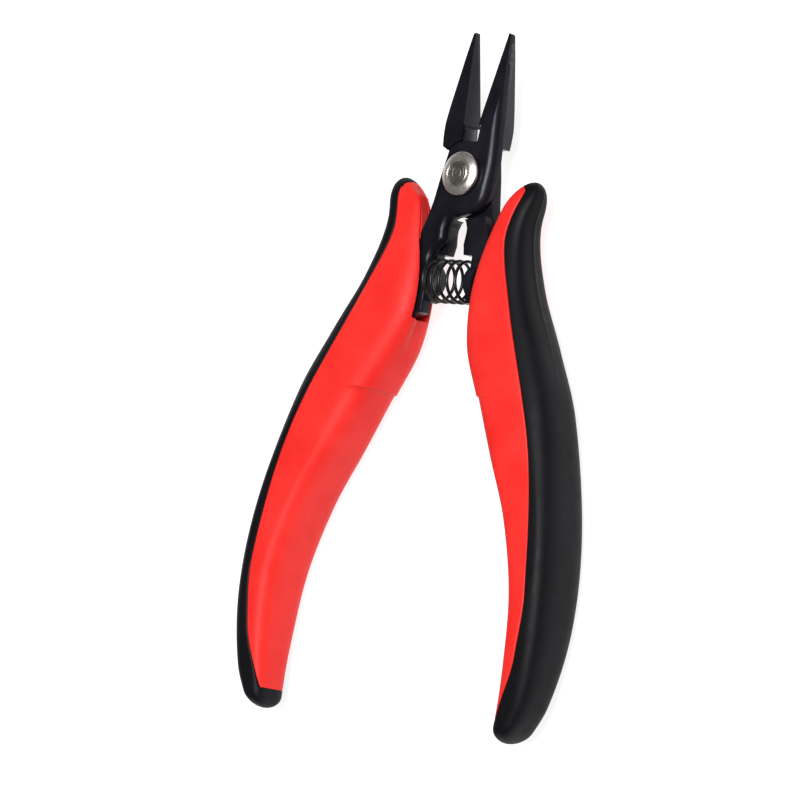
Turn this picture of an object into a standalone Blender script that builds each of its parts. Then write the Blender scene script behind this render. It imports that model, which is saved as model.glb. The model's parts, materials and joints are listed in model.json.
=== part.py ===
"""Flat nose pliers: two lapped steel arms on a rivet, a return spring and two-part grips.

Both halves of the tool are the same design. The front half is modelled once, in millimetres
from the pivot, with its jaw on the right and its grip on the left. The back half is that half
turned half round about the Y axis. The tool lies flat, open, with its jaws towards +Y.
"""
import math

import bmesh
import bpy
from mathutils import Matrix, Vector

MM = 0.001
GAP = 0.3                      # clearance between pieces that touch

# whole tool
TIP_Y = 30.35                  # jaw tip above the pivot
FOOT_Y = -114.3                # foot of the grips
GRIP_HALF = 7.2                # half thickness of the grips where they rest

# joint
PLATE_TOP = 2.8                # outer face of each arm's plate
LAP_RADIUS = 7.1               # round end of each plate at the lap joint
SHANK_RADIUS = 2.5
SHANK_CLEARANCE = 0.1
HEAD_RADIUS = 4.6
HEAD_RIM = 3.98                # top of the rivet head's rim
HEAD_TOP = 4.65                # top of its raised centre
COLLAR_RADIUS = 4.2
TAIL_RADIUS = 1.7
BUTTON_RADIUS = 2.6

# jaws
JAW_SLOPE = 0.128              # how the open gripping face leans outwards
GRIP_FACE_X = 1.75             # its distance from the middle at GRIP_FACE_Y
GRIP_FACE_Y = 8.0
JAW_HALF = 2.75                # half thickness at the root
JAW_TIP_HALF = 0.68            # half thickness at the tip
TAPER_START_Y = 10.0
RELIEF_BOTTOM_Y = 7.0
RELIEF_TOP_Y = 10.4
RELIEF_DEPTH = 0.4

# flange and spring
FLANGE_BACK = -1.9             # how deep the bent flange reaches past the joint's middle
FLANGE_TOP_Y = -9.2
STOP_BOTTOM_Y = -16.6
FLANGE_BOTTOM_Y = -28.5
SEAT_X = -5.4                  # spring seat's face
SEAT_THICK = 2.2
SEAT_RADIUS = 3.5              # the flange bulges to a round seat behind the spring
SPRING_Y = -22.0
SPRING_RADIUS = 4.3            # to the middle of the wire
WIRE_RADIUS = 0.35
SPRING_TURNS = 5.0
SPRING_STEPS = 22              # points in each turn
PEG_RADIUS = 2.2
PEG_LENGTH = 1.5

# grip
SECTION_POWER = 3.3            # 2 is an ellipse, more is squarer
RING_POINTS = 28
TOP_ROUND = 6.4
FOOT_ROUND = 2.8
GRIP_TOP_Y = -0.8
STEP_Y = -46.0                 # ledge on the inner side of the grip
CAP_Y = -110.4                 # the cushion wraps the whole grip below here
CUT_HEIGHT = 20.0              # reach of the cutting prisms above and below
SLOT_HALF = 3.1
SLOT_TOP_HALF = 1.6
SLOT_CHANGE_Y = -10.5
SLOT_BOTTOM_Y = -29.6

# curves of the grip as (y, distance from the middle), foot to top
OUTER_SIDE = [(-114.3, 36.0), (-106, 40.3), (-90, 42.5), (-70, 40.7), (-47, 34.6), (-22, 22.1),
              (-10, 19.2), (0, 22.0)]
INNER_LOWER = [(-114.3, 31.8), (-100, 32.6), (-85, 31.9), (-70, 27.4), (-58, 21.1), (-46, 15.0)]
INNER_UPPER = [(-46, 14.4), (-36, 9.4), (-25, 7.9), (-15, 9.2), (0, 14.0)]
SEAM_LINE = [(-114.3, 30.0), (-110, 32.1), (-97, 37.1), (-84, 37.9), (-56, 33.0), (-28, 21.1),
             (-14, 15.9), (0, 17.6)]
HALF_HEIGHT = [(-114.3, 3.9), (-90, 6.6), (-62, 7.45), (-30, 6.2), (0, 2.7)]

PIVOT = Vector((0.0, -(TIP_Y + FOOT_Y) / 2 * MM, GRIP_HALF * MM))


def clear_scene():
    """Start from an empty scene."""
    for item in list(bpy.data.objects):
        bpy.data.objects.remove(item, do_unlink=True)


def material(name, colour, roughness, metallic):
    """A Principled material."""
    made = bpy.data.materials.new(name)
    made.use_nodes = True
    shader = made.node_tree.nodes["Principled BSDF"]
    shader.inputs["Base Color"].default_value = (*colour, 1.0)
    shader.inputs["Roughness"].default_value = roughness
    shader.inputs["Metallic"].default_value = metallic
    return made


def add_object(name, work):
    """Turn a bmesh in millimetres into an object in metres, its origin on the pivot."""
    bmesh.ops.scale(work, vec=(MM, MM, MM), verts=work.verts)
    bmesh.ops.recalc_face_normals(work, faces=work.faces)
    mesh = bpy.data.meshes.new(name)
    work.to_mesh(mesh)
    work.free()
    made = bpy.data.objects.new(name, mesh)
    bpy.context.scene.collection.objects.link(made)
    return made


def prism(name, outline, low, high):
    """Extrude a closed outline of (x, y) points from z = low to z = high."""
    work = bmesh.new()
    corners = [work.verts.new((x, y, low)) for x, y in outline]
    base = work.faces.new(corners)
    pushed = bmesh.ops.extrude_face_region(work, geom=[base])
    top = [item for item in pushed["geom"] if isinstance(item, bmesh.types.BMVert)]
    bmesh.ops.translate(work, vec=(0, 0, high - low), verts=top)
    return add_object(name, work)


def turned(name, profile, segments):
    """Spin a profile of (radius, z) points, which starts and ends on the axis, about Z."""
    work = bmesh.new()
    points = [work.verts.new((radius, 0, z)) for radius, z in profile]
    edges = [work.edges.new(pair) for pair in zip(points, points[1:])]
    bmesh.ops.spin(work, geom=points + edges, axis=(0, 0, 1), cent=(0, 0, 0), steps=segments, angle=math.tau)
    bmesh.ops.remove_doubles(work, verts=work.verts, dist=0.001)
    return add_object(name, work)


def ring(name, inner, outer, low, high, segments):
    """A flat ring about Z."""
    work = bmesh.new()
    profile = [(inner, low), (outer, low), (outer, high), (inner, high)]
    points = [work.verts.new((radius, 0, z)) for radius, z in profile]
    edges = [work.edges.new((points[i - 1], points[i])) for i in range(4)]
    bmesh.ops.spin(work, geom=points + edges, axis=(0, 0, 1), cent=(0, 0, 0), steps=segments, angle=math.tau)
    bmesh.ops.remove_doubles(work, verts=work.verts, dist=0.001)
    return add_object(name, work)


def rod(name, radius, start, end, segments):
    """A plain cylinder from start to end."""
    axis = Vector(end) - Vector(start)
    work = bmesh.new()
    turn = axis.to_track_quat("Z", "Y").to_matrix().to_4x4()
    place = Matrix.Translation((Vector(start) + Vector(end)) / 2) @ turn
    bmesh.ops.create_cone(work, cap_ends=True, segments=segments, radius1=radius, radius2=radius,
                          depth=axis.length, matrix=place)
    return add_object(name, work)


def combine(target, tool, operation):
    """Apply an exact Boolean with another object, which is then removed."""
    step = target.modifiers.new(operation, "BOOLEAN")
    step.operation = operation
    step.solver = "EXACT"
    step.object = tool
    bpy.context.view_layer.update()
    evaluated = target.evaluated_get(bpy.context.evaluated_depsgraph_get())
    result = bpy.data.meshes.new_from_object(evaluated)
    target.modifiers.remove(step)
    target.data = result
    bpy.data.objects.remove(tool, do_unlink=True)


def arc(radius, start_deg, end_deg, count):
    """Points along an arc about the pivot."""
    angles = [start_deg + (end_deg - start_deg) * i / (count - 1) for i in range(count)]
    return [(radius * math.cos(math.radians(a)), radius * math.sin(math.radians(a))) for a in angles]


def curve_at(points, y):
    """Smooth curve through (y, value) points in rising y: a cubic with averaged slopes."""
    slopes = []
    for i in range(len(points)):
        before = points[max(i - 1, 0)]
        after = points[min(i + 1, len(points) - 1)]
        slopes.append((after[1] - before[1]) / (after[0] - before[0]))
    y = min(max(y, points[0][0]), points[-1][0])
    i = max(k for k in range(len(points) - 1) if points[k][0] <= y)
    span = points[i + 1][0] - points[i][0]
    t = (y - points[i][0]) / span
    rise = points[i][1] * (2 * t ** 3 - 3 * t ** 2 + 1) + points[i + 1][1] * (3 * t ** 2 - 2 * t ** 3)
    lean = slopes[i] * (t ** 3 - 2 * t ** 2 + t) + slopes[i + 1] * (t ** 3 - t ** 2)
    return rise + lean * span


def grip_face(y, inset=0.0):
    """Distance of the gripping face from the middle at height y."""
    return GRIP_FACE_X + (y - GRIP_FACE_Y) * JAW_SLOPE + inset


# ---------------------------------------------------------------- steel arm

def jaw_outline():
    """Plan of the jaw, full thickness, from the lap joint's arc to the tip."""
    outer = [(7.35, 5.8), (7.3, 9.0), (6.95, 13.5), (6.3, 20.0), (5.4, 28.0), (5.15, TIP_Y - 0.2)]
    inner = [(grip_face(TIP_Y), TIP_Y), (grip_face(RELIEF_TOP_Y), RELIEF_TOP_Y)]
    root = arc(LAP_RADIUS + GAP, 74, 46, 8)
    return outer + inner + root


def plate_outline():
    """Plan of the arm's plate: jaw root, round joint, and the tang that goes into the grip."""
    jaw_side = [(7.3, 9.0), (7.7, 5.0), (7.45, 0.0), (6.75, -4.0), (6.0, -6.0)]
    under_joint = [(4.6, -7.2), (2.0, -8.1), (-1.0, -8.8)]
    inner_edge = [(-2.3, -9.8), (-2.8, -11.5), (-2.6, -14.0), (-3.0, STOP_BOTTOM_Y),
                  (SEAT_X, STOP_BOTTOM_Y), (SEAT_X, FLANGE_BOTTOM_Y), (-9.6, -29.2)]
    tang_inner = [(-12.7, -36.0), (-18.5, -47.0), (-24.8, -58.0), (-30.4, -71.0)]
    tang_outer = [(-33.4, -72.0), (-34.0, -68.5), (-30.2, -58.0), (-25.5, -47.0), (-19.5, -36.0), (-12.8, -22.0),
                  (-9.6, -14.0), (-7.7, -9.0), (-6.9, -6.0), (-5.9, 0.0), (-4.95, 4.4)]
    joint_end = arc(LAP_RADIUS, 133, 75, 14)
    jaw_root = [(3.2, 8.6)]
    return jaw_side + under_joint + inner_edge + tang_inner + tang_outer + joint_end + jaw_root


def flange_outline():
    """Plan of the flange, bent square off the plate along its inner edge, with its stop pad."""
    pad = [(-4.9, FLANGE_TOP_Y), (-1.9, FLANGE_TOP_Y), (-2.4, -10.0), (-2.85, -11.5), (-2.65, -12.6),
           (-2.45, -13.7), (-2.5, -15.2), (-3.0, STOP_BOTTOM_Y)]
    seat = [(SEAT_X, STOP_BOTTOM_Y), (SEAT_X, FLANGE_BOTTOM_Y), (SEAT_X - SEAT_THICK, FLANGE_BOTTOM_Y),
            (SEAT_X - SEAT_THICK, -17.5)]
    return pad + seat


def spring_seat():
    """The round bulge of the flange that the spring bears on, without its front side."""
    seat = rod("seat", SEAT_RADIUS, (SEAT_X, SPRING_Y, 0), (SEAT_X - SEAT_THICK, SPRING_Y, 0), 40)
    front = [(SEAT_X - 5, SPRING_Y - 5), (SEAT_X + 5, SPRING_Y - 5), (SEAT_X + 5, SPRING_Y + 5),
             (SEAT_X - 5, SPRING_Y + 5)]
    combine(seat, prism("front", front, PLATE_TOP / 2, SEAT_RADIUS + 1), "DIFFERENCE")
    return seat


def steel_arm(name):
    """The front arm."""
    arm = prism(name, plate_outline(), GAP / 2, PLATE_TOP)
    combine(arm, prism("flange", flange_outline(), FLANGE_BACK, PLATE_TOP - 0.01), "UNION")
    combine(arm, spring_seat(), "UNION")
    combine(arm, prism("jaw", jaw_outline(), -JAW_HALF, JAW_HALF), "UNION")
    for side in (1, -1):
        combine(arm, jaw_wedge(side), "DIFFERENCE")
    relief = [(0.0, RELIEF_BOTTOM_Y), (grip_face(RELIEF_BOTTOM_Y, RELIEF_DEPTH), RELIEF_BOTTOM_Y),
              (grip_face(RELIEF_TOP_Y, RELIEF_DEPTH), RELIEF_TOP_Y), (0.0, RELIEF_TOP_Y)]
    combine(arm, prism("relief", relief, -4.0, 4.0), "DIFFERENCE")
    bore = SHANK_RADIUS + SHANK_CLEARANCE
    combine(arm, rod("bore", bore, (0, 0, -1), (0, 0, 4), 40), "DIFFERENCE")
    peg = rod("peg", PEG_RADIUS, (SEAT_X - 1, SPRING_Y, 0), (SEAT_X + PEG_LENGTH, SPRING_Y, 0), 20)
    combine(arm, peg, "UNION")
    return arm


def jaw_wedge(side):
    """Wedge that grinds one broad face of the jaw down to the tip's thickness."""
    work = bmesh.new()
    slope = (JAW_HALF - JAW_TIP_HALF) / (TIP_Y - TAPER_START_Y)
    reach = 4.0
    below = JAW_HALF + slope * reach
    above = JAW_TIP_HALF - slope * reach
    side_view = [(TAPER_START_Y - reach, below), (TIP_Y + reach, above),
                 (TIP_Y + reach, 8.0), (TAPER_START_Y - reach, 8.0)]
    corners = [work.verts.new((0.5, y, z * side)) for y, z in side_view]
    face = work.faces.new(corners)
    pushed = bmesh.ops.extrude_face_region(work, geom=[face])
    moved = [item for item in pushed["geom"] if isinstance(item, bmesh.types.BMVert)]
    bmesh.ops.translate(work, vec=(10.0, 0, 0), verts=moved)
    return add_object("wedge", work)


# ---------------------------------------------------------------- rivet and spring

def rivet(name):
    """Turned rivet: stepped head in front, shank, and a closed-over button behind."""
    under_head = PLATE_TOP + GAP
    shank_end = -PLATE_TOP - 0.05
    button = -HEAD_RIM - GAP
    head = [(0, HEAD_TOP), (2.6, HEAD_TOP), (2.9, HEAD_TOP - 0.1), (4.3, HEAD_RIM + 0.1),
            (HEAD_RADIUS, HEAD_RIM - 0.15), (HEAD_RADIUS, under_head)]
    shank = [(SHANK_RADIUS, under_head), (SHANK_RADIUS, shank_end), (TAIL_RADIUS, shank_end)]
    tail = [(TAIL_RADIUS, button), (BUTTON_RADIUS, button), (BUTTON_RADIUS - 0.5, button - 0.4), (0, button - 0.5)]
    return turned(name, (head + shank + tail)[::-1], 40)


def spring(name):
    """Compression coil between the two seats, wound along X."""
    length = -2 * (SEAT_X + GAP + WIRE_RADIUS)
    steps = int(SPRING_TURNS * SPRING_STEPS)
    work = bmesh.new()
    rings = []
    sides = 8
    for i in range(steps + 1):
        turn = math.tau * i / SPRING_STEPS
        outwards = Vector((0, math.cos(turn), math.sin(turn)))
        centre = Vector((length * (i / steps - 0.5), SPRING_Y, 0)) + outwards * SPRING_RADIUS
        loop = []
        for k in range(sides):
            around = math.tau * k / sides
            offset = outwards * math.cos(around) + Vector((1, 0, 0)) * math.sin(around)
            loop.append(work.verts.new(centre + offset * WIRE_RADIUS))
        rings.append(loop)
    for first, second in zip(rings, rings[1:]):
        for k in range(sides):
            work.faces.new((first[k - 1], first[k], second[k], second[k - 1]))
    work.faces.new(rings[0])
    work.faces.new(rings[-1][::-1])
    return add_object(name, work)


# ---------------------------------------------------------------- grip

def grip_section(y):
    """Middle, half width and half height of the grip at height y."""
    outer = curve_at(OUTER_SIDE, y)
    inner = curve_at(INNER_LOWER if y < STEP_Y else INNER_UPPER, y)
    scale = 1.0
    if y < FOOT_Y + FOOT_ROUND:
        scale = math.sqrt(max(1 - ((FOOT_Y + FOOT_ROUND - y) / FOOT_ROUND) ** 2, 0.0))
    if y > GRIP_TOP_Y - TOP_ROUND:
        scale = math.sqrt(max(1 - ((y - GRIP_TOP_Y + TOP_ROUND) / TOP_ROUND) ** 2, 0.0))
    return -(outer + inner) / 2, (outer - inner) / 2 * scale, curve_at(HALF_HEIGHT, y) * scale


def grip_stations():
    """Heights of the grip's rings: close together where it rounds off or steps."""
    foot = [FOOT_Y + FOOT_ROUND * (1 - math.cos(math.radians(a))) for a in (10, 32, 58)]
    lower = [FOOT_Y + FOOT_ROUND + (STEP_Y - 0.45 - FOOT_Y - FOOT_ROUND) * i / 11 for i in range(12)]
    upper_end = GRIP_TOP_Y - TOP_ROUND
    upper = [STEP_Y + 0.45 + (upper_end - STEP_Y - 0.45) * i / 7 for i in range(8)]
    top = [upper_end + TOP_ROUND * math.sin(math.radians(a)) for a in (25, 45, 62, 78)]
    return foot + lower + upper + top


def grip_solid(name):
    """The whole grip, lofted through squared-off oval rings and flat where it rests."""
    work = bmesh.new()
    rings = []
    power = 2 / SECTION_POWER
    for y in grip_stations():
        middle, half_width, half_height = grip_section(y)
        loop = []
        for k in range(RING_POINTS):
            angle = math.tau * (k + 0.5) / RING_POINTS
            across = math.copysign(abs(math.cos(angle)) ** power, math.cos(angle))
            up = math.copysign(abs(math.sin(angle)) ** power, math.sin(angle))
            z = min(max(half_height * up, -GRIP_HALF), GRIP_HALF)
            loop.append(work.verts.new((middle + half_width * across, y, z)))
        rings.append(loop)
    for first, second in zip(rings, rings[1:]):
        for k in range(RING_POINTS):
            work.faces.new((first[k - 1], first[k], second[k], second[k - 1]))
    work.faces.new(rings[0])
    work.faces.new(rings[-1][::-1])
    return add_object(name, work)


def seam_points(shift):
    """Plan of the seam between body and cushion, foot to top, moved inwards by shift."""
    heights = [CAP_Y + (3.0 - CAP_Y) * i / 22 for i in range(23)]
    return [(-curve_at(SEAM_LINE, y) + shift, y) for y in heights]


def grip_body(name):
    """Hard moulding: the inner side of the grip, slotted and bored for the arm."""
    body = grip_solid(name)
    seam = seam_points(GAP / 2)
    foot_cut = CAP_Y + GAP / 2
    seam[0] = (seam[0][0], foot_cut)
    outside = [(-10.0, foot_cut), (-10.0, FOOT_Y - 5), (-60.0, FOOT_Y - 5), (-60.0, 8.0), (seam[-1][0], 8.0)]
    combine(body, prism("outside", outside + seam[::-1], -CUT_HEIGHT, CUT_HEIGHT), "DIFFERENCE")
    wide_slot = [(2.0, SLOT_BOTTOM_Y), (2.0, SLOT_CHANGE_Y), (-9.2, SLOT_CHANGE_Y), (-10.4, -14.0),
                 (-13.6, -22.0), (-17.0, SLOT_BOTTOM_Y)]
    combine(body, prism("slot", wide_slot, -SLOT_HALF, SLOT_HALF), "DIFFERENCE")
    notch = [(2.0, SLOT_CHANGE_Y - 0.5), (2.0, 3.0), (-13.2, 3.0), (-12.6, -6.0), (-11.6, SLOT_CHANGE_Y - 0.5)]
    combine(body, prism("notch", notch, -SLOT_TOP_HALF, SLOT_TOP_HALF), "DIFFERENCE")
    pocket = [(-8.4, -29.0), (-11.9, -36.0), (-17.8, -47.0), (-24.1, -58.0), (-29.8, -72.7), (-34.4, -72.7),
              (-34.6, -68.4), (-30.8, -57.8), (-26.1, -46.8), (-20.1, -35.8), (-16.6, -29.0)]
    combine(body, prism("pocket", pocket, -GAP / 2, PLATE_TOP + GAP), "DIFFERENCE")
    return body


def grip_cushion(name):
    """Soft overmould: the outer side of the grip and its foot."""
    cushion = grip_solid(name)
    seam = seam_points(-GAP / 2)
    inside = [(10.0, 8.0), (10.0, CAP_Y)] + seam + [(seam[-1][0], 8.0)]
    combine(cushion, prism("inside", inside, -CUT_HEIGHT, CUT_HEIGHT), "DIFFERENCE")
    return cushion


# ---------------------------------------------------------------- assembly

def place(item, colour, half_turn=False):
    """Put a piece at the pivot, with its material, turned over for the back half."""
    item.data.materials.clear()
    item.data.materials.append(colour)
    item.data.shade_smooth()
    item.data.set_sharp_from_angle(angle=math.radians(35))
    item.location = PIVOT
    item.rotation_euler = (0, math.pi if half_turn else 0, 0)
    return item


def turned_copy(item, name, colour):
    """The same piece for the back half of the tool."""
    twin = bpy.data.objects.new(name, item.data)
    bpy.context.scene.collection.objects.link(twin)
    return place(twin, colour, half_turn=True)


def build():
    """Make every piece."""
    clear_scene()
    black_steel = material("black_steel", (0.022, 0.022, 0.026), 0.42, 0.9)
    nickel = material("nickel", (0.62, 0.58, 0.53), 0.28, 1.0)
    spring_steel = material("spring_steel", (0.02, 0.02, 0.02), 0.4, 0.9)
    red_plastic = material("red_plastic", (0.9, 0.065, 0.05), 0.5, 0.0)
    black_rubber = material("black_rubber", (0.025, 0.025, 0.028), 0.6, 0.0)

    front_arm = place(steel_arm("front_arm"), black_steel)
    turned_copy(front_arm, "back_arm", black_steel)
    left_grip = place(grip_body("left_grip_body"), red_plastic)
    turned_copy(left_grip, "right_grip_body", red_plastic)
    left_cushion = place(grip_cushion("left_grip_cushion"), black_rubber)
    turned_copy(left_cushion, "right_grip_cushion", black_rubber)
    place(rivet("pivot_rivet"), nickel)
    place(ring("rivet_collar", TAIL_RADIUS + GAP, COLLAR_RADIUS, -HEAD_RIM, -PLATE_TOP - GAP, 40), nickel)
    place(spring("return_spring"), spring_steel)


build()
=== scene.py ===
"""Looks for the flat nose pliers: finished steel arms, turned rivet, coil spring and two-part grips.

Every piece is modelled in millimetres from the pivot, as the front half of the tool, with its jaw
on the right and its grip on the left. The back half is the same pieces turned half round about Y.
"""
import json
import math

import bmesh
import bpy
import numpy as np
from mathutils import Matrix, Vector


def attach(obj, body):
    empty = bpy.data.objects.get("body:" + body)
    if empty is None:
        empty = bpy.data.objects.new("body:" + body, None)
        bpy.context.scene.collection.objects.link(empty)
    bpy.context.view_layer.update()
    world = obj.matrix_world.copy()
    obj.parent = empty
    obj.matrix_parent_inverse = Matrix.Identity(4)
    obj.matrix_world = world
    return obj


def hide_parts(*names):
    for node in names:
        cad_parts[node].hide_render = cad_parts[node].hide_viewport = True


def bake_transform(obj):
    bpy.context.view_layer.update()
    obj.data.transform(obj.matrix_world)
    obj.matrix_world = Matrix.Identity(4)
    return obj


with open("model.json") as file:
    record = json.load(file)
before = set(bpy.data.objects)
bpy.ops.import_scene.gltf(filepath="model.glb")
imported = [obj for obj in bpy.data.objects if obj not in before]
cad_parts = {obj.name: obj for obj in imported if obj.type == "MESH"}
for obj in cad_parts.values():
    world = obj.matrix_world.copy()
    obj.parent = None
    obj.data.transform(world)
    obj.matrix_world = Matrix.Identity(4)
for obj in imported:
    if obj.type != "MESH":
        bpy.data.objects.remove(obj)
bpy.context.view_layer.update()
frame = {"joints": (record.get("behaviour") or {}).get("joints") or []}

MM = 0.001
PIVOT = Vector(frame["joints"][0]["pos_m"])
GRIP_HALF = PIVOT.z / MM

# camera, as angles of the view onto the tool lying flat
VIEW_YAW = 42.70
VIEW_PITCH = 4.94
VIEW_ROLL = 9.28
VIEW_DISTANCE = 934.7           # mm from the pivot along the line of sight
VIEW_OFFSET = (14.73, 45.94)    # mm, how far the pivot sits right and up of the view's centre
LENS = 204.0                    # mm on a 36 mm sensor

# steel
PLATE_TOP = 2.8
PLATE_BACK = 0.15
LAP_RADIUS = 7.1
LAP_GAP = 0.3
BEND_RADIUS = 2.3
FLANGE_RADIUS = 1.7
EDGE_RADIUS = 0.12
BORE_RADIUS = 2.6
JAW_HALF = 2.75
JAW_TIP_HALF = 0.68
TAPER_START_Y = 10.5
TIP_Y = 30.35
FLANGE_BACK = -1.9
STOP_Y = -16.6
SEAT_X = -5.4
SEAT_END_Y = -26.6
SEAT_RADIUS = 3.5               # the flange bulges to a round seat behind the spring
LEG_END_Y = -29.0
SPRING_Y = -22.0
SPRING_RADIUS = 4.3
WIRE_RADIUS = 0.35
# outer side of the jaw as (y, distance from the tool's middle), front edge and thick back part
JAW_OUTER = [(5.0, 7.6), (9.0, 7.25), (13.5, 6.95), (20.0, 6.25), (25.0, 5.75), (28.0, 5.38), (30.4, 5.08)]
JAW_BACK_OUTER = [(5.8, 6.8), (7.5, 7.0), (9.5, 7.08), (13.5, 6.9), (20.0, 6.25), (25.0, 5.75), (28.0, 5.38),
                  (30.4, 5.08)]

# distance along the spring after so many turns
SPRING_RISE = [(0.26, -5.02), (0.5, -4.88), (1.5, -2.74), (2.5, -0.5), (3.5, 1.72), (4.5, 3.95), (4.8, 4.65),
               (5.05, 5.02)]

# grip curves as (y, distance from the tool's middle), foot to top
FOOT_Y = -114.26
CAP_Y = -110.15                 # the cushion wraps the whole grip below here
GRIP_TOP_Y = -0.6
HOOK_Y = -1.6
STEP_Y = -46.0
OUTER_SIDE = [(-114.3, 36.0), (-106, 40.3), (-90, 42.44), (-70, 40.7), (-47, 34.75), (-34, 28.5),
              (-22, 22.25), (-10, 19.2), (0, 22.0)]
INNER_LOWER = [(-114.3, 31.8), (-100, 32.6), (-85, 31.9), (-70, 27.4), (-58, 21.1), (-46, 15.0)]
INNER_UPPER = [(-46, 14.4), (-36, 9.4), (-25, 7.9), (-15, 9.2), (0, 14.0)]
SEAM_LINE = [(-114.3, 30.9), (-110.1, 32.7), (-105.5, 34.5), (-101, 36.2), (-97, 37.1), (-84, 37.9),
             (-56, 33.0), (-28, 21.1), (-17, 16.55), (-12.5, 15.5), (-9, 15.8), (-6.5, 16.4), (-4.5, 16.95),
             (-3.2, 17.1), (-2.6, 16.95), (-2.1, 16.45), (-1.8, 15.8), (-1.65, 15.2), (-1.55, 13.0)]
HALF_HEIGHT = [(-114.3, 3.9), (-90, 6.6), (-62, 7.45), (-30, 6.2), (0, 2.7)]
SECTION_POWER = 3.3
SEAM_ROUND = 0.4
SEAM_DEPTH = 0.16
SEAM_GAP = 0.06                 # from the seam to each of the two mouldings
TONGUE = 0.4                    # reach of the tongue that keys the mouldings together
SLOT_HALF = 3.1
SLOT_LIP = 0.45                 # rounding of the slot's mouth
TOP_ROUND = 6.4
FOOT_ROUND = 2.8
SLOT_BOTTOM_Y = -30.4
SLOT_TOP_Y = -4.2
SLOT_FLOOR = [(-31, 17.0), (-22, 13.8), (-14, 11.0), (-6, 12.8), (2, 14.5)]


# ---------------------------------------------------------------- helpers

def curve_at(points, y):
    """Smooth curve through (y, value) points in rising y: a cubic with averaged slopes."""
    slopes = []
    for i in range(len(points)):
        before = points[max(i - 1, 0)]
        after = points[min(i + 1, len(points) - 1)]
        slopes.append((after[1] - before[1]) / (after[0] - before[0]))
    y = min(max(y, points[0][0]), points[-1][0])
    i = max(k for k in range(len(points) - 1) if points[k][0] <= y)
    span = points[i + 1][0] - points[i][0]
    t = (y - points[i][0]) / span
    rise = points[i][1] * (2 * t ** 3 - 3 * t ** 2 + 1) + points[i + 1][1] * (3 * t ** 2 - 2 * t ** 3)
    lean = slopes[i] * (t ** 3 - 2 * t ** 2 + t) + slopes[i + 1] * (t ** 3 - t ** 2)
    return rise + lean * span


def smoothstep(low, high, value):
    """Ease from 0 at low to 1 at high."""
    t = min(max((value - low) / (high - low), 0.0), 1.0)
    return t * t * (3 - 2 * t)


def add_object(name, work, sharp=35):
    """Turn a bmesh in millimetres into a smooth-shaded object with its origin on the pivot."""
    bmesh.ops.scale(work, vec=(MM, MM, MM), verts=work.verts)
    bmesh.ops.recalc_face_normals(work, faces=work.faces)
    mesh = bpy.data.meshes.new(name)
    work.to_mesh(mesh)
    work.free()
    made = bpy.data.objects.new(name, mesh)
    bpy.context.scene.collection.objects.link(made)
    made.location = PIVOT
    finish_shading(made, sharp)
    return made


def finish_shading(item, sharp):
    """Smooth shading that breaks at edges sharper than so many degrees."""
    item.data.shade_smooth()
    item.data.set_sharp_from_angle(angle=math.radians(sharp))


def prism(name, outline, low, high):
    """Extrude a closed outline of (x, y) points from z = low to z = high."""
    work = bmesh.new()
    corners = [work.verts.new((x, y, low)) for x, y in outline]
    base = work.faces.new(corners)
    pushed = bmesh.ops.extrude_face_region(work, geom=[base])
    top = [item for item in pushed["geom"] if isinstance(item, bmesh.types.BMVert)]
    bmesh.ops.translate(work, vec=(0, 0, high - low), verts=top)
    return add_object(name, work)


def upright_rod(name, radius, low, high, segments):
    """A cylinder about the pivot from z = low to z = high."""
    work = bmesh.new()
    bmesh.ops.create_cone(work, cap_ends=True, segments=segments, radius1=radius, radius2=radius,
                          depth=high - low, matrix=Matrix.Translation((0, 0, (low + high) / 2)))
    return add_object(name, work)


def lathe(name, profile, segments, closed=False):
    """Spin a profile of (radius, z) points about Z. A closed profile makes a ring."""
    work = bmesh.new()
    points = [work.verts.new((radius, 0, z)) for radius, z in profile]
    pairs = list(zip(points, points[1:]))
    if closed:
        pairs.append((points[-1], points[0]))
    edges = [work.edges.new(pair) for pair in pairs]
    bmesh.ops.spin(work, geom=points + edges, axis=(0, 0, 1), cent=(0, 0, 0), steps=segments, angle=math.tau)
    bmesh.ops.remove_doubles(work, verts=work.verts, dist=0.0005)
    return add_object(name, work)


def combine(target, tool, operation):
    """Apply an exact Boolean with another object, which is then removed."""
    step = target.modifiers.new(operation, "BOOLEAN")
    step.operation = operation
    step.solver = "EXACT"
    step.object = tool
    bpy.context.view_layer.update()
    result = bpy.data.meshes.new_from_object(target.evaluated_get(bpy.context.evaluated_depsgraph_get()))
    target.modifiers.remove(step)
    target.data = result
    bpy.data.objects.remove(tool, do_unlink=True)


def arc(radius, start_deg, end_deg, count):
    """Points along an arc about the pivot."""
    angles = [start_deg + (end_deg - start_deg) * i / (count - 1) for i in range(count)]
    return [(radius * math.cos(math.radians(a)), radius * math.sin(math.radians(a))) for a in angles]


def loft(name, rings, sharp=40):
    """Skin closed rings of equal length, with a cap at each end."""
    work = bmesh.new()
    made = [[work.verts.new(point) for point in ring] for ring in rings]
    for first, second in zip(made, made[1:]):
        for k in range(len(first)):
            work.faces.new((first[k - 1], first[k], second[k], second[k - 1]))
    work.faces.new(made[0])
    work.faces.new(made[-1][::-1])
    return add_object(name, work, sharp)


def back_copy(item, name):
    """The same piece for the back half of the tool."""
    twin = bpy.data.objects.new(name, item.data)
    bpy.context.scene.collection.objects.link(twin)
    twin.location = PIVOT
    twin.rotation_euler = (0, math.pi, 0)
    return twin


# ---------------------------------------------------------------- steel arms

def grip_face(y, inset=0.0):
    """Distance of the gripping face from the middle at height y."""
    return 1.75 + (y - 8.0) * 0.128 + inset


def jaw_outer_side(curve, start):
    """Outer side of the jaw, root to tip."""
    levels = [start + (TIP_Y - 0.25 - start) * i / 14 for i in range(15)]
    return [(curve_at(curve, y), y) for y in levels]


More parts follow.
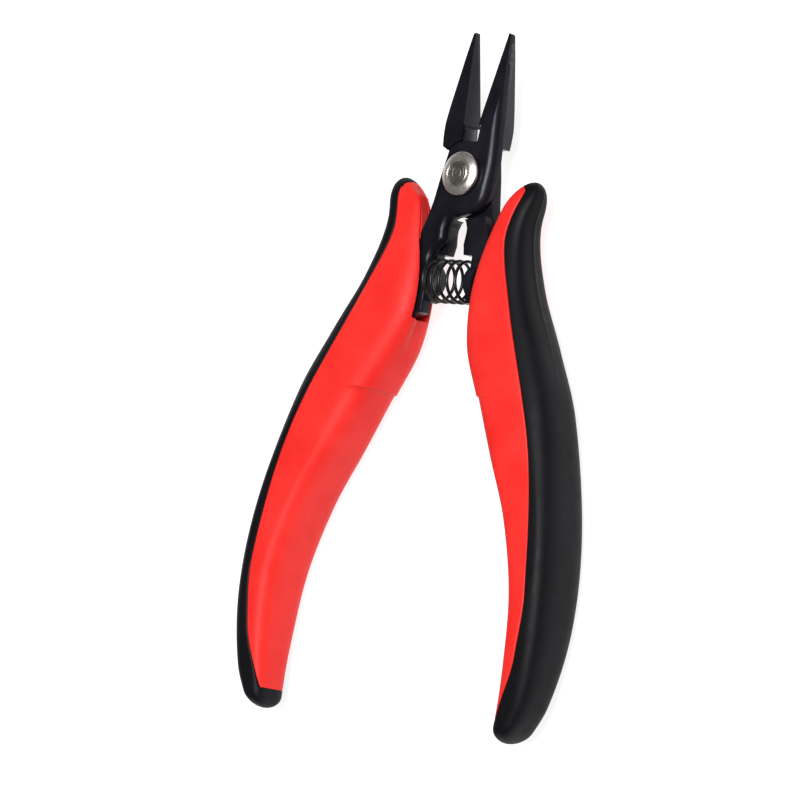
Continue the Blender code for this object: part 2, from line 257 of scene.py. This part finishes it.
def smooth_path(points, spacing):
    """Catmull-Rom path through the points, with samples about spacing apart."""
    path = []
    ends = [points[0]] + list(points) + [points[-1]]
    for a, b, c, d in zip(ends, ends[1:], ends[2:], ends[3:]):
        a, b, c, d = Vector(a), Vector(b), Vector(c), Vector(d)
        steps = max(int((c - b).length / spacing), 1)
        for k in range(steps):
            t = k / steps
            path.append(0.5 * (2 * b + (c - a) * t + (2 * a - 5 * b + 4 * c - d) * t ** 2
                               + (3 * b - a - 3 * c + d) * t ** 3))
    path.append(Vector(points[-1]))
    return path


def bend_line():
    """Edge of the blank that is the outside of the bend: leg, flange, under the joint, jaw."""
    flange = [(SEAT_X, LEG_END_Y), (SEAT_X, -24.0), (SEAT_X, -20.0), (-5.55, -18.4), (-5.3, -17.2),
              (-4.6, -16.0)]
    stop = [(-3.4, -14.8), (-2.7, -13.6), (-2.65, -12.4), (-2.7, -11.2), (-2.2, -9.7), (-1.2, -8.85),
            (0.2, -8.5)]
    under_joint = [(2.0, -8.15), (4.0, -7.55), (5.4, -6.75), (6.35, -5.4), (6.95, -3.4), (7.4, -0.4),
                   (7.65, 3.0)]
    return smooth_path(flange + stop + under_joint + jaw_outer_side(JAW_OUTER, 6.0), 0.4)


def other_edges():
    """The rest of the blank's outline, jaw tip to leg."""
    jaw_inner = [(grip_face(TIP_Y), TIP_Y), (grip_face(7.6), 7.6)]
    joint_end = arc(LAP_RADIUS, 76, 133, 22)
    tang_outer = [(-4.95, 4.4), (-5.9, 0.0), (-6.9, -6.0), (-7.7, -9.0), (-9.6, -14.0), (-12.8, -22.0),
                  (-19.5, -36.0)]
    tang_inner = [(-15.0, -38.0), (-9.6, -30.2), (-7.3, -29.7)]
    return [Vector(point) for point in jaw_inner + joint_end + tang_outer + tang_inner]


def bend_radius(x, y):
    """Radius of the rounding along the bend: tight on the flange, limited by the jaw's width."""
    if y < -8.0:
        return 0.4 + (FLANGE_RADIUS - 0.4) * smoothstep(-20.5, -16.8, y)
    if y < 6.0:
        return FLANGE_RADIUS + (BEND_RADIUS - FLANGE_RADIUS) * smoothstep(-6.0, -1.0, y)
    return max(min(BEND_RADIUS, 0.75 * (x - grip_face(y))), EDGE_RADIUS)


def bent_blank(name):
    """The arm's blank in the front layer, its front edge rounded where the sheet was bent over."""
    bend = bend_line()
    outline = bend + other_edges()
    radii = [bend_radius(*point) for point in bend] + [EDGE_RADIUS] * (len(outline) - len(bend))
    inward = []
    for i, point in enumerate(outline):
        along = (outline[(i + 1) % len(outline)] - outline[i - 1]).normalized()
        inward.append(Vector((-along.y, along.x)))
    rings = [[(point.x, point.y, PLATE_BACK) for point in outline]]
    for turn in range(0, 91, 9):
        up = math.sin(math.radians(turn))
        over = 1 - math.cos(math.radians(turn))
        ring = []
        for point, way, radius in zip(outline, inward, radii):
            moved = point + way * radius * over
            ring.append((moved.x, moved.y, PLATE_TOP - radius + radius * up))
        rings.append(ring)
    return loft(name, rings)


def soften(item, width, segments=2, angle=28):
    """Break the sharp edges by a small bevel."""
    work = bmesh.new()
    work.from_mesh(item.data)
    bmesh.ops.remove_doubles(work, verts=work.verts, dist=0.003 * MM)
    bmesh.ops.dissolve_limit(work, angle_limit=math.radians(0.5), verts=work.verts, edges=work.edges)
    sharp = [e for e in work.edges if len(e.link_faces) == 2 and e.calc_face_angle() > math.radians(angle)]
    bmesh.ops.bevel(work, geom=sharp, offset=width * MM, segments=segments, profile=0.5, affect="EDGES",
                    clamp_overlap=True)
    work.to_mesh(item.data)
    work.free()
    finish_shading(item, 40)


def wedge(side):
    """What the grinding takes off one broad face of the jaw."""
    slope = (JAW_HALF - JAW_TIP_HALF) / (TIP_Y - TAPER_START_Y)
    reach = 4.0
    work = bmesh.new()
    low_y = TAPER_START_Y - reach
    high_y = TIP_Y + reach
    side_view = [(low_y, JAW_HALF + slope * reach), (high_y, JAW_TIP_HALF - slope * reach),
                 (high_y, 9.0), (low_y, 9.0)]
    face = work.faces.new([work.verts.new((0.2, y, z * side)) for y, z in side_view])
    pushed = bmesh.ops.extrude_face_region(work, geom=[face])
    moved = [item for item in pushed["geom"] if isinstance(item, bmesh.types.BMVert)]
    bmesh.ops.translate(work, vec=(10.0, 0, 0), verts=moved)
    return add_object("wedge", work)


def relief():
    """Cut across the root of the gripping face, deeper towards the front."""
    low_y, high_y = 7.0, 10.5
    rings = []
    for z, depth in ((-4.0, -0.18), (4.0, 0.95)):
        rings.append([(0.0, low_y, z), (grip_face(low_y, depth + 0.1), low_y, z),
                      (grip_face(high_y, depth), high_y, z), (0.0, high_y, z)])
    return loft("relief", rings)


def spring_seat():
    """The round bulge of the flange that the spring bears on, without its front side."""
    rings = []
    for x in (SEAT_X, SEAT_X - 2.1):
        half = [math.pi * (1 + i / 30) for i in range(31)]
        ring = [(x, SPRING_Y + SEAT_RADIUS * math.cos(a), SEAT_RADIUS * math.sin(a)) for a in half]
        rings.append(ring + [(x, SPRING_Y + SEAT_RADIUS, 0.4), (x, SPRING_Y - SEAT_RADIUS, 0.4)])
    return loft("seat", rings)


def steel_arm(name, root_corner, root_end):
    """Stamped arm: bent blank, thick jaw ground to a taper, stop pad and spring seat on the flange."""
    arm = bent_blank(name)
    root = arc(LAP_RADIUS + LAP_GAP, 76, root_end, 14)
    jaw = jaw_outer_side(JAW_BACK_OUTER, root_corner) + [(grip_face(TIP_Y), TIP_Y), (grip_face(7.6), 7.6)]
    combine(arm, prism("jaw", jaw + root, -JAW_HALF, 0.45), "UNION")
    pad = [(-7.3, -8.4), (-1.75, -9.2), (-2.2, -9.6), (-2.75, -11.0), (-2.8, -12.0), (-2.55, -14.4),
           (-3.0, STOP_Y), (SEAT_X, STOP_Y), (SEAT_X, SEAT_END_Y), (SEAT_X - 2.2, SEAT_END_Y), (-8.6, -17.5),
           (-9.3, -14.0)]
    combine(arm, prism("flange", pad, FLANGE_BACK, 0.45), "UNION")
    combine(arm, spring_seat(), "UNION")
    for side in (1, -1):
        combine(arm, wedge(side), "DIFFERENCE")
    combine(arm, relief(), "DIFFERENCE")
    combine(arm, upright_rod("bore", BORE_RADIUS, -1, 4, 64), "DIFFERENCE")
    soften(arm, 0.16)
    return arm


# ---------------------------------------------------------------- rivet and spring

def rivet(name):
    """Turned rivet head with a stepped rim, a coned land and a pitted raised centre."""
    centre = [(0.0, 4.5), (0.3, 4.5), (0.5, 4.56), (1.0, 4.58), (1.08, 4.53), (1.18, 4.53), (1.28, 4.59),
              (1.8, 4.6), (1.88, 4.55), (1.98, 4.55), (2.08, 4.6), (2.3, 4.58), (2.5, 4.5), (2.62, 4.34),
              (2.7, 4.12), (2.8, 4.1)]
    land = [(2.92, 4.28), (3.04, 4.46), (3.16, 4.5), (3.32, 4.46), (3.66, 4.33), (3.74, 4.29), (4.1, 4.14),
            (4.3, 4.05)]
    rim = [(4.45, 3.98), (4.56, 3.88), (4.6, 3.74), (4.6, 3.3), (4.54, 3.16), (4.4, 3.1)]
    shank = [(2.5, 3.1), (2.5, -2.85), (1.7, -2.85), (1.7, -4.28)]
    button = [(2.4, -4.28), (2.58, -4.34), (2.6, -4.45), (2.45, -4.62), (2.0, -4.74), (1.0, -4.78),
              (0.0, -4.78)]
    return lathe(name, (centre + land + rim + shank + button)[::-1], 128)


def collar(name):
    """Washer that the rivet is closed over behind the joint."""
    inner, outer, low, high, edge = 2.0, 4.2, -3.98, -3.1, 0.14
    profile = [(inner + edge, low), (outer - edge, low), (outer, low + edge), (outer, high - edge),
               (outer - edge, high), (inner + edge, high), (inner, high - edge), (inner, low + edge)]
    return lathe(name, profile, 96, closed=True)


def coil(name):
    """Compression spring with closed ends, wound along X."""
    start = SPRING_RISE[0][0]
    turns = SPRING_RISE[-1][0] - start
    steps = int(turns * 56)
    sides = 14
    rings = []
    for i in range(steps + 1):
        turn = start + turns * i / steps
        angle = math.tau * (turn - 0.25)
        outwards = Vector((0, math.cos(angle), math.sin(angle)))
        centre = Vector((curve_at(SPRING_RISE, turn), SPRING_Y, 0)) + outwards * SPRING_RADIUS
        loop = []
        for k in range(sides):
            around = math.tau * k / sides
            offset = outwards * math.cos(around) + Vector((1, 0, 0)) * math.sin(around)
            loop.append(centre + offset * WIRE_RADIUS)
        rings.append(loop)
    return loft(name, rings)


# ---------------------------------------------------------------- grips

def section(y):
    """Middle, half width, half height and seam of the grip at height y."""
    outer = curve_at(OUTER_SIDE, y)
    lower = curve_at(INNER_LOWER, y)
    upper = curve_at(INNER_UPPER, y)
    inner = lower + (upper - lower) * smoothstep(STEP_Y - 0.1, STEP_Y + 0.2, y)
    scale = 1.0
    if y < FOOT_Y + FOOT_ROUND:
        scale = math.sqrt(max(1 - ((FOOT_Y + FOOT_ROUND - y) / FOOT_ROUND) ** 2, 0.0))
    if y > GRIP_TOP_Y - TOP_ROUND:
        scale = math.sqrt(max(1 - ((y - GRIP_TOP_Y + TOP_ROUND) / TOP_ROUND) ** 2, 0.0))
    half_height = curve_at(HALF_HEIGHT, y) * scale
    return (outer + inner) / 2, (outer - inner) / 2 * scale, half_height, curve_at(SEAM_LINE, y)


def front_lip(y):
    """How much further in the front wall reaches over the arm."""
    return 1.8 * smoothstep(-40, -27, y) * (1 - smoothstep(-5.5, -1.6, y))


def shaped(q, y, z, middle):
    """Final touches to a point: front wall, mould ridge on the outer side, flat broad faces."""
    if q < middle:
        q -= front_lip(y) * smoothstep(0.2, 2.6, z)
    else:
        q += 0.3 * smoothstep(-50, -14, y) * (1 - smoothstep(-3.0, -1.0, y)) * math.exp(-abs(z) / 0.6)
    return (-q, y, flattened(z))


def flattened(z):
    """Ease the broad faces to the flat that the tool rests on."""
    start = GRIP_HALF - 0.5
    if abs(z) <= start:
        return z
    return math.copysign(start + 0.5 * (1 - math.exp(-(abs(z) - start) / 0.5)), z)


def side_path(middle, half_width, half_height, cut, sign):
    """Fine oval outline from the cut at q = cut round one side: sign -1 inner, 1 outer. Ends mirror in z."""
    share = min(max((cut - middle) * sign / half_width, -0.9995), 0.9995)
    start = math.acos(math.copysign(abs(share) ** (SECTION_POWER / 2), share))
    angles = np.linspace(start, -start, 361)
    power = 2 / SECTION_POWER
    c = np.cos(angles)
    s = np.sin(angles)
    q = middle + sign * half_width * np.sign(c) * np.abs(c) ** power
    return q, half_height * np.sign(s) * np.abs(s) ** power


def resample(q, z, count, ends):
    """Points along a path; ends is 0 for even spacing, up to 1 for points crowded at the path's ends."""
    length = np.concatenate([[0], np.cumsum(np.hypot(np.diff(q), np.diff(z)))])
    even = np.linspace(0, 1, count)
    wanted = ((1 - ends) * even + ends * (0.5 - 0.5 * np.cos(math.pi * even))) * length[-1]
    return np.interp(wanted, length, q), np.interp(wanted, length, z), wanted, length[-1]


def seam_drop(z, travelled):
    """Round off the edge along the seam."""
    edge = np.clip(1 - travelled / SEAM_ROUND, 0, 1) ** 2
    return z - np.sign(z) * edge * SEAM_DEPTH


def closed_by_seam(q, z, tongue):
    """Close an open outline across the seam, keyed by a tongue that reaches inwards at mid height."""
    key = [(-0.8, 0), (-0.6, 0), (-0.4, tongue), (0.0, tongue), (0.4, tongue), (0.6, 0), (0.8, 0)]
    return list(zip(q, z)) + [(q[0] - reach, z[0] * share) for share, reach in key]


def tongue_reach(seam, middle, half_width):
    """How far the cushion's tongue goes into the body, less where the body is thin."""
    return min(max(0.4 * (seam - middle + half_width), 0.0), TONGUE)


def heights(low, high, spacing, dense):
    """Ring heights from low to high, closer near each (centre, reach, spacing) in dense."""
    values = [low]
    while values[-1] < high:
        step = spacing
        for centre, reach, fine in dense:
            if abs(values[-1] - centre) < reach:
                step = min(step, fine)
        values.append(values[-1] + step)
    values[-1] = high
    return values


def grip_body(name):
    """Red moulding: inner side of the grip, slotted at the top for the arm."""
    rings = []
    low = CAP_Y + 0.02
    high = HOOK_Y - 0.05
    dense = [(STEP_Y, 0.7, 0.05), (SLOT_BOTTOM_Y, 1.4, 0.18), (low, 2.0, 0.25), (SLOT_TOP_Y, 1.2, 0.2),
             (high, 1.6, 0.08)]
    for y in heights(low, high, 0.9, dense):
        middle, half_width, half_height, seam = section(y)
        tongue = tongue_reach(seam, middle, half_width)
        seam = max(seam - SEAM_GAP, middle - half_width + 0.05)
        q, z = inner_side(y, middle, half_width, half_height, seam)
        rings.append([shaped(a, y, b, middle) for a, b in closed_by_seam(q, z, tongue)])
    return loft(name, rings, 50)


def inner_side(y, middle, half_width, half_height, seam):
    """Outline of the red side: broad face, mouth of the slot or the natural rim, broad face."""
    q, z = side_path(middle, half_width, half_height, seam, -1)
    half_slot = max(min(SLOT_HALF, half_height - 1.35), 0.25)
    mouth = min(half_slot + SLOT_LIP, z.max() * 0.85)
    upper = np.flatnonzero(z > mouth)[-1]
    share = (z[upper] - mouth) / (z[upper] - z[upper + 1])
    edge_q = q[upper] + share * (q[upper + 1] - q[upper])
    face_q, face_z, travelled, _ = resample(np.append(q[:upper + 1], edge_q),
                                            np.append(z[:upper + 1], mouth), 56, 0.6)
    face_z = seam_drop(face_z, travelled)
    rim = slice(upper + 1, len(q) - upper - 1)
    rim_q, rim_z, _, _ = resample(np.concatenate([[edge_q], q[rim], [edge_q]]),
                                  np.concatenate([[mouth], z[rim], [-mouth]]), 33, 0)
    floor = min(curve_at(SLOT_FLOOR, y), seam - 0.8)
    wall = [(edge_q, mouth), (edge_q + 0.12, half_slot + 0.12), (edge_q + SLOT_LIP, half_slot),
            (floor - 0.6, half_slot), (floor - 0.15, half_slot - 0.1), (floor, half_slot - 0.2)]
    wall += [(a, -b) for a, b in wall[::-1]]
    slot_q, slot_z, _, _ = resample(*np.array(wall).T, 33, 0)
    bottom = smoothstep(SLOT_BOTTOM_Y - 0.2, SLOT_BOTTOM_Y + 0.9, y)
    opening = bottom * (1 - smoothstep(SLOT_TOP_Y - 0.5, SLOT_TOP_Y + 0.3, y))
    mid_q = rim_q + (slot_q - rim_q) * opening
    mid_z = rim_z + (slot_z - rim_z) * opening
    return (np.concatenate([face_q, mid_q[1:-1], face_q[::-1]]),
            np.concatenate([face_z, mid_z[1:-1], -face_z[::-1]]))


def grip_cushion(name):
    """Soft black overmould: outer side of the grip, top hook and foot."""
    rings = []
    low = FOOT_Y
    high = GRIP_TOP_Y
    foot = [low + FOOT_ROUND * (1 - math.cos(math.radians(a))) for a in (4, 12, 22, 33, 45, 58, 71)]
    top = [high - TOP_ROUND * (1 - math.sin(math.radians(a))) for a in (59, 63, 67, 71, 75, 79, 83, 86, 88.5)]
    hook_start = high - TOP_ROUND * 0.8
    long_part = heights(low + FOOT_ROUND - 0.2, hook_start, 0.9, [(CAP_Y, 0.8, 0.06)])
    hook = heights(hook_start + 0.3, HOOK_Y + 0.1, 0.3, [(HOOK_Y, 1.6, 0.08)])
    for y in foot + long_part + hook + top:
        middle, half_width, half_height, seam = section(y)
        tongue = tongue_reach(seam, middle, half_width)
        inner_rim = middle - half_width * 0.998
        seam = max(seam + SEAM_GAP, inner_rim)
        if y < CAP_Y:
            seam = inner_rim
            tongue = 0.0
        q, z, travelled, total = resample(*side_path(middle, half_width, half_height, seam, 1), 97, 0.7)
        z = seam_drop(z, np.minimum(travelled, total - travelled))
        rings.append([shaped(a, y, b, middle) for a, b in closed_by_seam(q, z, tongue)])
    return loft(name, rings, 50)


# ---------------------------------------------------------------- materials

class Nodes:
    """Short calls to build a material's node tree."""

    def __init__(self, name):
        self.material = bpy.data.materials.new(name)
        self.material.use_nodes = True
        self.tree = self.material.node_tree
        self.shader = self.tree.nodes["Principled BSDF"]
        self.coords = self.tree.nodes.new("ShaderNodeTexCoord").outputs["Object"]

    def link(self, source, target):
        self.tree.links.new(source, target)

    def stretch(self, scale):
        """Object coordinates stretched by a scale along each axis."""
        node = self.tree.nodes.new("ShaderNodeMapping")
        node.inputs["Scale"].default_value = scale
        self.link(self.coords, node.inputs["Vector"])
        return node.outputs["Vector"]

    def noise(self, size_mm, detail=3.0, roughness=0.5, vector=None):
        """Noise with features of about size_mm."""
        node = self.tree.nodes.new("ShaderNodeTexNoise")
        node.inputs["Scale"].default_value = 1 / (size_mm * MM)
        node.inputs["Detail"].default_value = detail
        node.inputs["Roughness"].default_value = roughness
        self.link(vector or self.coords, node.inputs["Vector"])
        return node.outputs["Fac"]

    def spread(self, value, low, high, new_low=0.0, new_high=1.0):
        """Map low..high to new_low..new_high, clamped."""
        node = self.tree.nodes.new("ShaderNodeMapRange")
        for key, number in zip(("From Min", "From Max", "To Min", "To Max"), (low, high, new_low, new_high)):
            node.inputs[key].default_value = number
        self.link(value, node.inputs["Value"])
        return node.outputs["Result"]

    def math(self, operation, first, second):
        node = self.tree.nodes.new("ShaderNodeMath")
        node.operation = operation
        for socket, value in zip(node.inputs, (first, second)):
            if isinstance(value, (int, float)):
                socket.default_value = value
            else:
                self.link(value, socket)
        return node.outputs["Value"]

    def mix(self, amount, first, second):
        """Mix two colours by a factor."""
        node = self.tree.nodes.new("ShaderNodeMix")
        node.data_type = "RGBA"
        for socket, value in zip((node.inputs[0], node.inputs[6], node.inputs[7]), (amount, first, second)):
            if isinstance(value, (int, float)):
                socket.default_value = value
            elif isinstance(value, tuple):
                socket.default_value = (*value, 1.0)
            else:
                self.link(value, socket)
        return node.outputs[2]

    def bump(self, height, strength, distance_mm, normal=None):
        node = self.tree.nodes.new("ShaderNodeBump")
        if isinstance(strength, float):
            node.inputs["Strength"].default_value = strength
        else:
            self.link(strength, node.inputs["Strength"])
        node.inputs["Distance"].default_value = distance_mm * MM
        self.link(height, node.inputs["Height"])
        if normal is not None:
            self.link(normal, node.inputs["Normal"])
        return node.outputs["Normal"]

    def set(self, **values):
        """Link or set the shader's inputs, their names in lower case with underscores."""
        for key, value in values.items():
            socket = self.shader.inputs[key.replace("_", " ").title().replace("Ior", "IOR")]
            if isinstance(value, tuple):
                socket.default_value = (*value, 1.0)
            elif isinstance(value, (int, float)):
                socket.default_value = value
            else:
                self.link(value, socket)
        return self.material


def red_plastic():
    """Moulded plastic: fine grain, soft mottling, a few dull scuffs."""
    n = Nodes("red_plastic")
    mottle = n.spread(n.noise(9.0), 0.35, 0.7)
    colour = n.mix(mottle, (0.72, 0.018, 0.014), (0.80, 0.029, 0.023))
    scuff = n.spread(n.noise(3.5, 6.0, 0.7, n.stretch((1, 0.35, 1))), 0.62, 0.74, 0, 0.35)
    colour = n.mix(scuff, colour, (0.6, 0.035, 0.03))
    gloss = n.spread(n.noise(1.2, 4.0), 0.3, 0.7, 0.46, 0.56)
    rough = n.math("ADD", gloss, n.math("MULTIPLY", scuff, 0.25))
    grain = n.bump(n.noise(0.22, 2.0), 0.25, 0.03)
    waves = n.bump(n.noise(5.0, 2.0), 0.15, 0.12, grain)
    return n.set(base_color=colour, roughness=rough, normal=waves, specular_ior_level=0.22)


def black_rubber():
    """Soft rubber: matt, with a fine leathery grain and a trace of dust."""
    n = Nodes("black_rubber")
    dust = n.spread(n.noise(0.5, 8.0, 0.75), 0.66, 0.8, 0, 0.5)
    cloud = n.spread(n.noise(12.0), 0.3, 0.7)
    colour = n.mix(cloud, (0.0020, 0.0020, 0.0030), (0.0042, 0.0042, 0.0064))
    colour = n.mix(dust, colour, (0.04, 0.04, 0.042))
    rough = n.spread(n.noise(2.5, 5.0), 0.3, 0.7, 0.46, 0.56)
    grain = n.bump(n.noise(0.18, 3.0, 0.6), 0.35, 0.03)
    return n.set(base_color=colour, roughness=rough, normal=grain, specular_ior_level=0.14)


def black_steel():
    """Black-oxide steel: dark, slightly purple, with grinding marks and clouded gloss."""
    n = Nodes("black_steel")
    cloud = n.spread(n.noise(6.0, 4.0), 0.35, 0.68)
    colour = n.mix(cloud, (0.004, 0.004, 0.006), (0.010, 0.0095, 0.014))
    marks = n.noise(0.5, 4.0, 0.6, n.stretch((0.25, 3.0, 0.25)))
    gloss = n.spread(n.noise(2.2, 5.0), 0.3, 0.7, 0.17, 0.26)
    rough = n.math("ADD", gloss, n.spread(marks, 0.3, 0.7, -0.03, 0.05))
    grain = n.bump(marks, 0.12, 0.012)
    pits = n.bump(n.noise(0.3, 3.0), 0.15, 0.015, grain)
    return n.set(base_color=colour, roughness=rough, normal=pits, metallic=0.0, specular_ior_level=0.17,
                 specular_tint=(0.86, 0.87, 1.0))


def nickel():
    """Nickel plate with concentric turning marks and a little tarnish."""
    n = Nodes("nickel")
    split = n.tree.nodes.new("ShaderNodeSeparateXYZ")
    n.link(n.coords, split.inputs[0])
    across = n.math("POWER", split.outputs["X"], 2)
    along = n.math("POWER", split.outputs["Y"], 2)
    radius = n.math("SQRT", n.math("ADD", across, along), 0)
    rings = n.noise(0.06, 2.0, 0.6, radius_vector(n, radius))
    centre = n.spread(radius, 0.0024, 0.0029, 1.0, 0.0)
    blotch = n.spread(n.noise(1.0, 6.0, 0.7), 0.38, 0.66)
    tarnish = n.math("MULTIPLY", blotch, n.spread(centre, 0, 1, 0.15, 0.8))
    colour = n.mix(tarnish, (0.88, 0.84, 0.79), (0.20, 0.17, 0.14))
    colour = n.mix(n.math("MULTIPLY", centre, 0.55), colour, (0.13, 0.105, 0.095))
    rough = n.spread(n.noise(0.8, 5.0), 0.3, 0.7, 0.24, 0.34)
    turned = n.bump(rings, 0.2, 0.010)
    pits = n.bump(n.noise(0.45, 3.0, 0.6), n.spread(centre, 0, 1, 0.06, 0.3), 0.02, turned)
    return n.set(base_color=colour, roughness=rough, normal=pits, metallic=1.0)


def radius_vector(n, radius):
    """A vector that changes only with the radius, for turning marks."""
    node = n.tree.nodes.new("ShaderNodeCombineXYZ")
    n.link(radius, node.inputs["X"])
    return node.outputs[0]


def spring_steel():
    """Oil-black spring wire with drawing marks along it."""
    n = Nodes("spring_steel")
    patch = n.spread(n.noise(1.5, 4.0), 0.35, 0.7)
    colour = n.mix(patch, (0.006, 0.006, 0.007), (0.014, 0.0135, 0.0135))
    rough = n.spread(n.noise(0.6, 4.0), 0.3, 0.7, 0.2, 0.32)
    grain = n.bump(n.noise(0.12, 3.0), 0.2, 0.01)
    return n.set(base_color=colour, roughness=rough, normal=grain, metallic=0.2, specular_ior_level=0.36)


def floor_paint():
    """Plain white sweep."""
    n = Nodes("floor_paint")
    tone = n.mix(n.noise(180.0), (0.30, 0.30, 0.30), (0.33, 0.33, 0.33))
    return n.set(base_color=tone, roughness=0.9, emission_color=(1.0, 1.0, 1.0), emission_strength=0.86)


# ---------------------------------------------------------------- stage

def view_axes():
    """Camera right, up and back as rows, from its yaw, pitch and roll."""
    yaw = Matrix.Rotation(math.radians(-VIEW_YAW), 3, "Y")
    pitch = Matrix.Rotation(math.radians(-VIEW_PITCH), 3, "X")
    roll = Matrix.Rotation(math.radians(-VIEW_ROLL), 3, "Z")
    return roll @ pitch @ yaw


def add_camera():
    """Long lens, turned and tilted as the view constants say."""
    axes = view_axes()
    spot = axes.transposed() @ Vector((-VIEW_OFFSET[0], -VIEW_OFFSET[1], VIEW_DISTANCE)) * MM
    camera = bpy.data.objects.new("camera", bpy.data.cameras.new("camera"))
    camera.data.lens = LENS
    camera.data.sensor_width = 36.0
    camera.data.clip_start = 0.01
    camera.data.clip_end = 20.0
    camera.matrix_world = Matrix.Translation(PIVOT + spot) @ axes.transposed().to_4x4()
    bpy.context.scene.collection.objects.link(camera)
    bpy.context.scene.camera = camera


def add_light(name, direction, distance, size, power):
    """A soft square light that faces the tool from a direction."""
    light = bpy.data.lights.new(name, "AREA")
    light.shape = "SQUARE"
    light.size = size
    light.energy = power
    lamp = bpy.data.objects.new(name, light)
    way = Vector(direction).normalized()
    lamp.location = way * distance
    lamp.rotation_euler = way.to_track_quat("Z", "Y").to_euler()
    bpy.context.scene.collection.objects.link(lamp)


def add_stage():
    """White floor, a faint world light and three soft lamps."""
    work = bmesh.new()
    bmesh.ops.create_grid(work, x_segments=2, y_segments=2, size=3.0)
    mesh = bpy.data.meshes.new("floor")
    work.to_mesh(mesh)
    work.free()
    floor = bpy.data.objects.new("floor", mesh)
    floor.location = (0, 0, -0.0002)
    floor.data.materials.append(floor_paint())
    bpy.context.scene.collection.objects.link(floor)
    world = bpy.data.worlds.new("studio")
    world.use_nodes = True
    world.node_tree.nodes["Background"].inputs["Color"].default_value = (1.0, 1.0, 1.0, 1.0)
    world.node_tree.nodes["Background"].inputs["Strength"].default_value = 0.16
    bpy.context.scene.world = world
    bpy.context.scene.view_settings.view_transform = "Standard"
    add_light("overhead", (0.34, 0.10, 1.0), 1.2, 1.05, 9.0)
    add_light("core", (0.34, 0.10, 1.0), 1.25, 0.5, 12.0)
    add_light("front", (0.80, -0.25, 0.60), 1.1, 0.22, 0.40)


# ---------------------------------------------------------------- assembly

def dress(item, finish, body, node):
    """Give a piece its material and its body, and hide the CAD node that it stands for."""
    item.data.materials.clear()
    item.data.materials.append(finish)
    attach(item, body)
    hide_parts(node)


def build():
    """Make every visible piece."""
    steel = black_steel()
    red = red_plastic()
    rubber = black_rubber()
    plate = nickel()
    dress(steel_arm("front_arm_steel", 6.2, 57), steel, "front_half", "front_arm")
    back = steel_arm("back_arm_steel", 5.8, 43)
    back.rotation_euler = (0, math.pi, 0)
    dress(back, steel, "back_half", "back_arm")
    body = grip_body("left_body_moulding")
    dress(body, red, "front_half", "left_grip_body")
    dress(back_copy(body, "right_body_moulding"), red, "back_half", "right_grip_body")
    cushion = grip_cushion("left_cushion_rubber")
    dress(cushion, rubber, "front_half", "left_grip_cushion")
    right_cushion = back_copy(cushion, "right_cushion_rubber")
    dress(right_cushion, rubber, "back_half", "right_grip_cushion")
    dress(rivet("rivet_turned"), plate, "back_half", "pivot_rivet")
    dress(collar("collar_turned"), plate, "back_half", "rivet_collar")
    spring = coil("spring_coil")
    spring.data.materials.append(spring_steel())
    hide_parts("return_spring")
    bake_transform(spring)


add_camera()
add_stage()
build()

bpy.context.view_layer.update()
